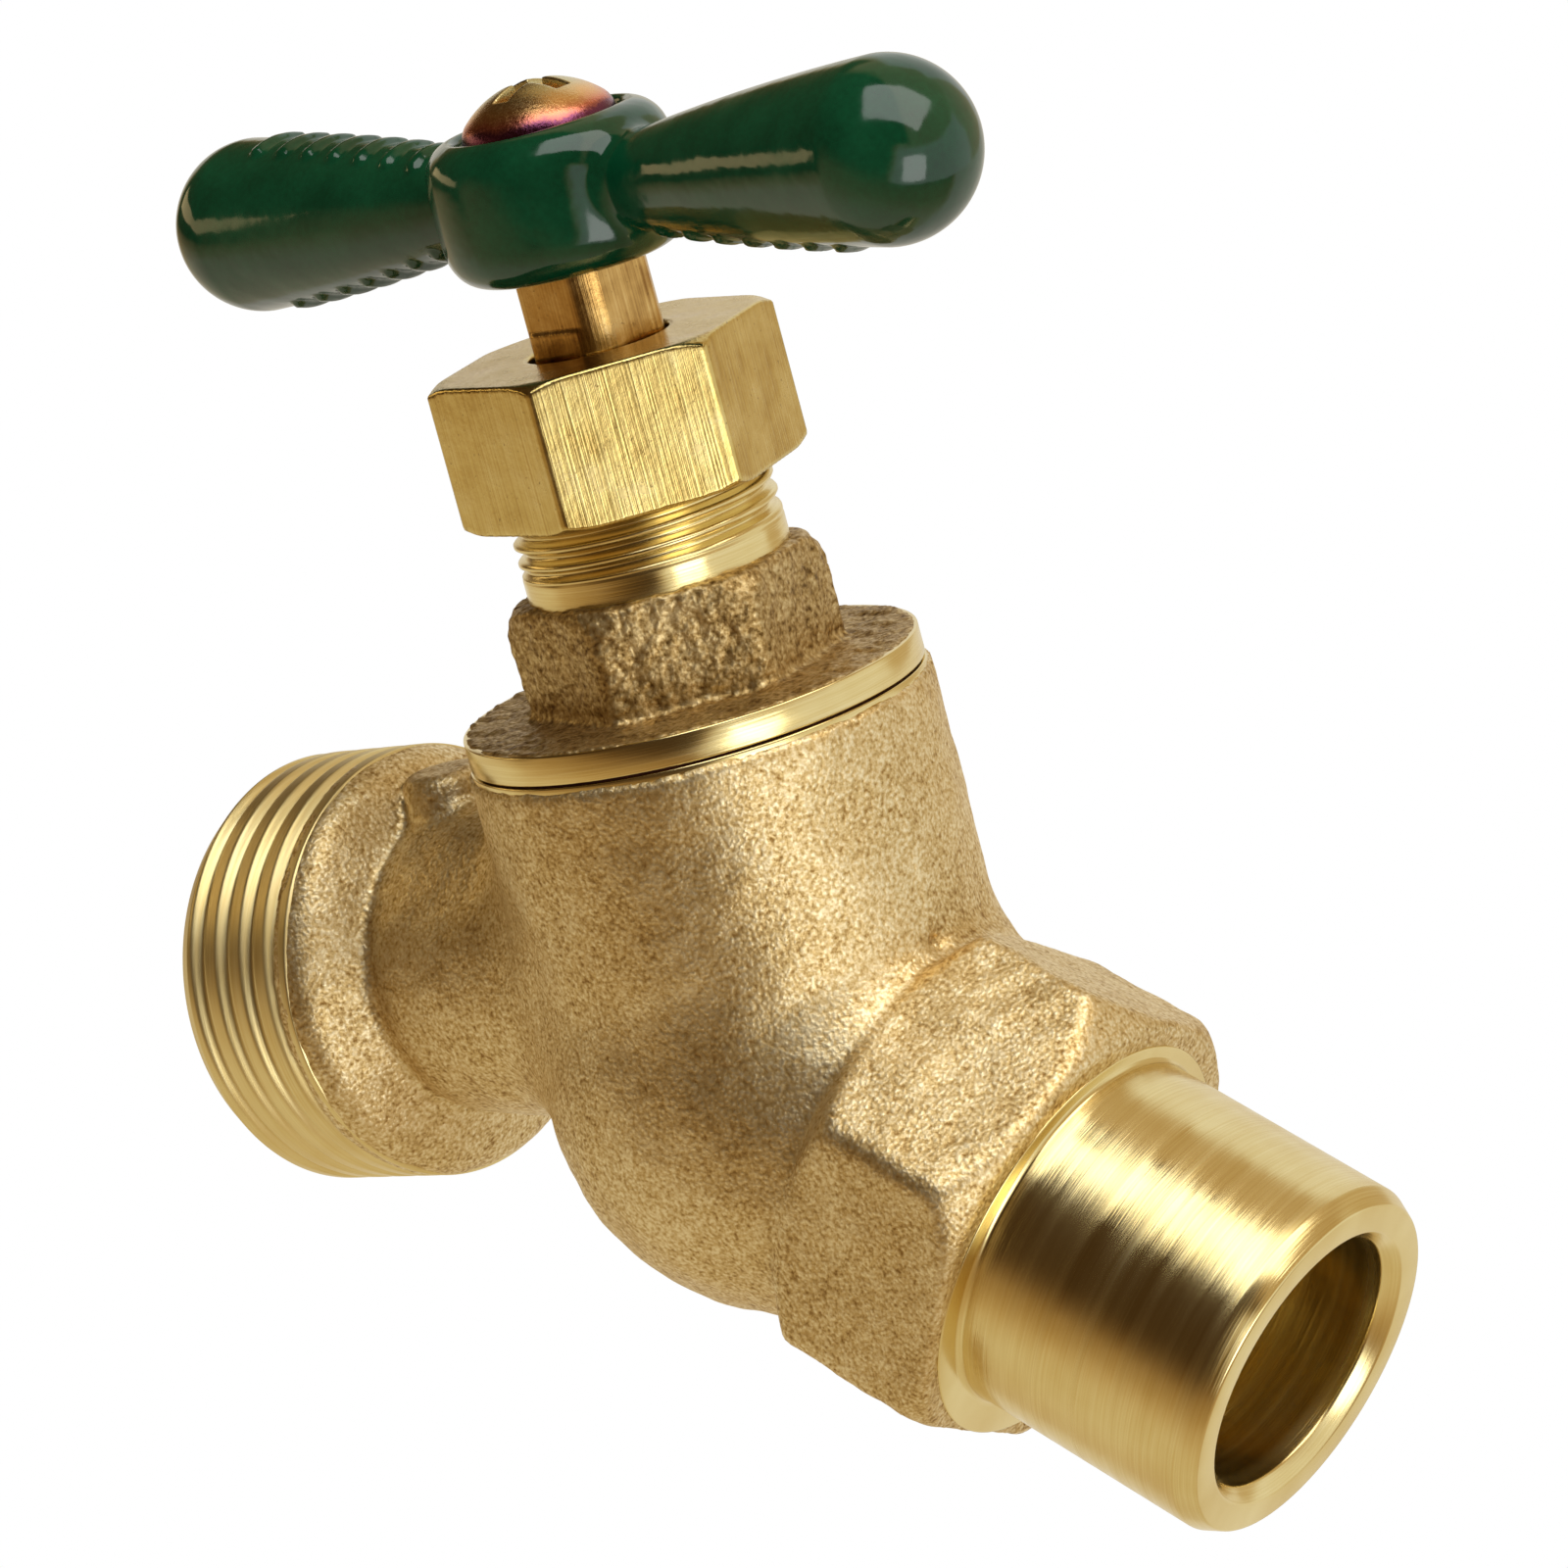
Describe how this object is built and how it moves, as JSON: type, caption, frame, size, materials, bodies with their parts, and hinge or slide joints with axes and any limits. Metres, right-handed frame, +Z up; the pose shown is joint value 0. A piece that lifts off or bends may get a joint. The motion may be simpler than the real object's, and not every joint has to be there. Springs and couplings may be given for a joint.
{
  "type": "hose bibb",
  "caption": "Angled brass garden tap with a solder inlet, hose-thread outlet, threaded bonnet, packing nut and a rising stem under an enamelled tee handle.",
  "frame": {"origin": "centre of the inlet spigot's end face, where the supply pipe meets the tap", "axes": "+X forward from the wall along the inlet axis, +Z up, +Y to the left seen from behind; the stem leans forward 30 degrees from +Z"},
  "size_m": [0.0949, 0.0298, 0.0898],
  "materials": {
    "cast_brass": "as cast, sand-blasted skin",
    "turned_brass": "turned",
    "drawn_brass": "drawn hexagon bar",
    "green_enamel": "gloss stove enamel",
    "plated_steel": "yellow zinc plate",
    "graphite_packing": "pressed graphite",
    "black_rubber": "moulded",
    "fibre": "pressed fibre"
  },
  "bodies": {
    "valve": {"valve_body": "cast_brass", "bonnet_gasket": "fibre", "bonnet": "cast_brass", "packing_washer": "turned_brass", "lower_packing_ring": "graphite_packing", "upper_packing_ring": "graphite_packing", "packing_gland": "turned_brass", "packing_nut": "drawn_brass"},
    "disc_carrier": {"disc_holder": "turned_brass", "seat_washer": "black_rubber", "washer_screw": "turned_brass"},
    "spindle": {"stem": "turned_brass", "handle": "green_enamel", "handle_screw": "plated_steel"}
  },
  "joints": [
    {"name": "stem_lift", "type": "slide", "parent": "valve", "child": "disc_carrier", "axis": [0.5, 0, 0.866], "range_m": [0, 0.00635]},
    {"name": "handle_turn", "type": "hinge", "parent": "disc_carrier", "child": "spindle", "pos_m": [0.04927, 0, 0.01918], "axis": [0.5, 0, 0.866], "range_deg": [0, 900]}
  ],
  "couplings": [
    {"joint": "handle_turn", "follows": "stem_lift", "rad_per_m": 2473.7}
  ]
}
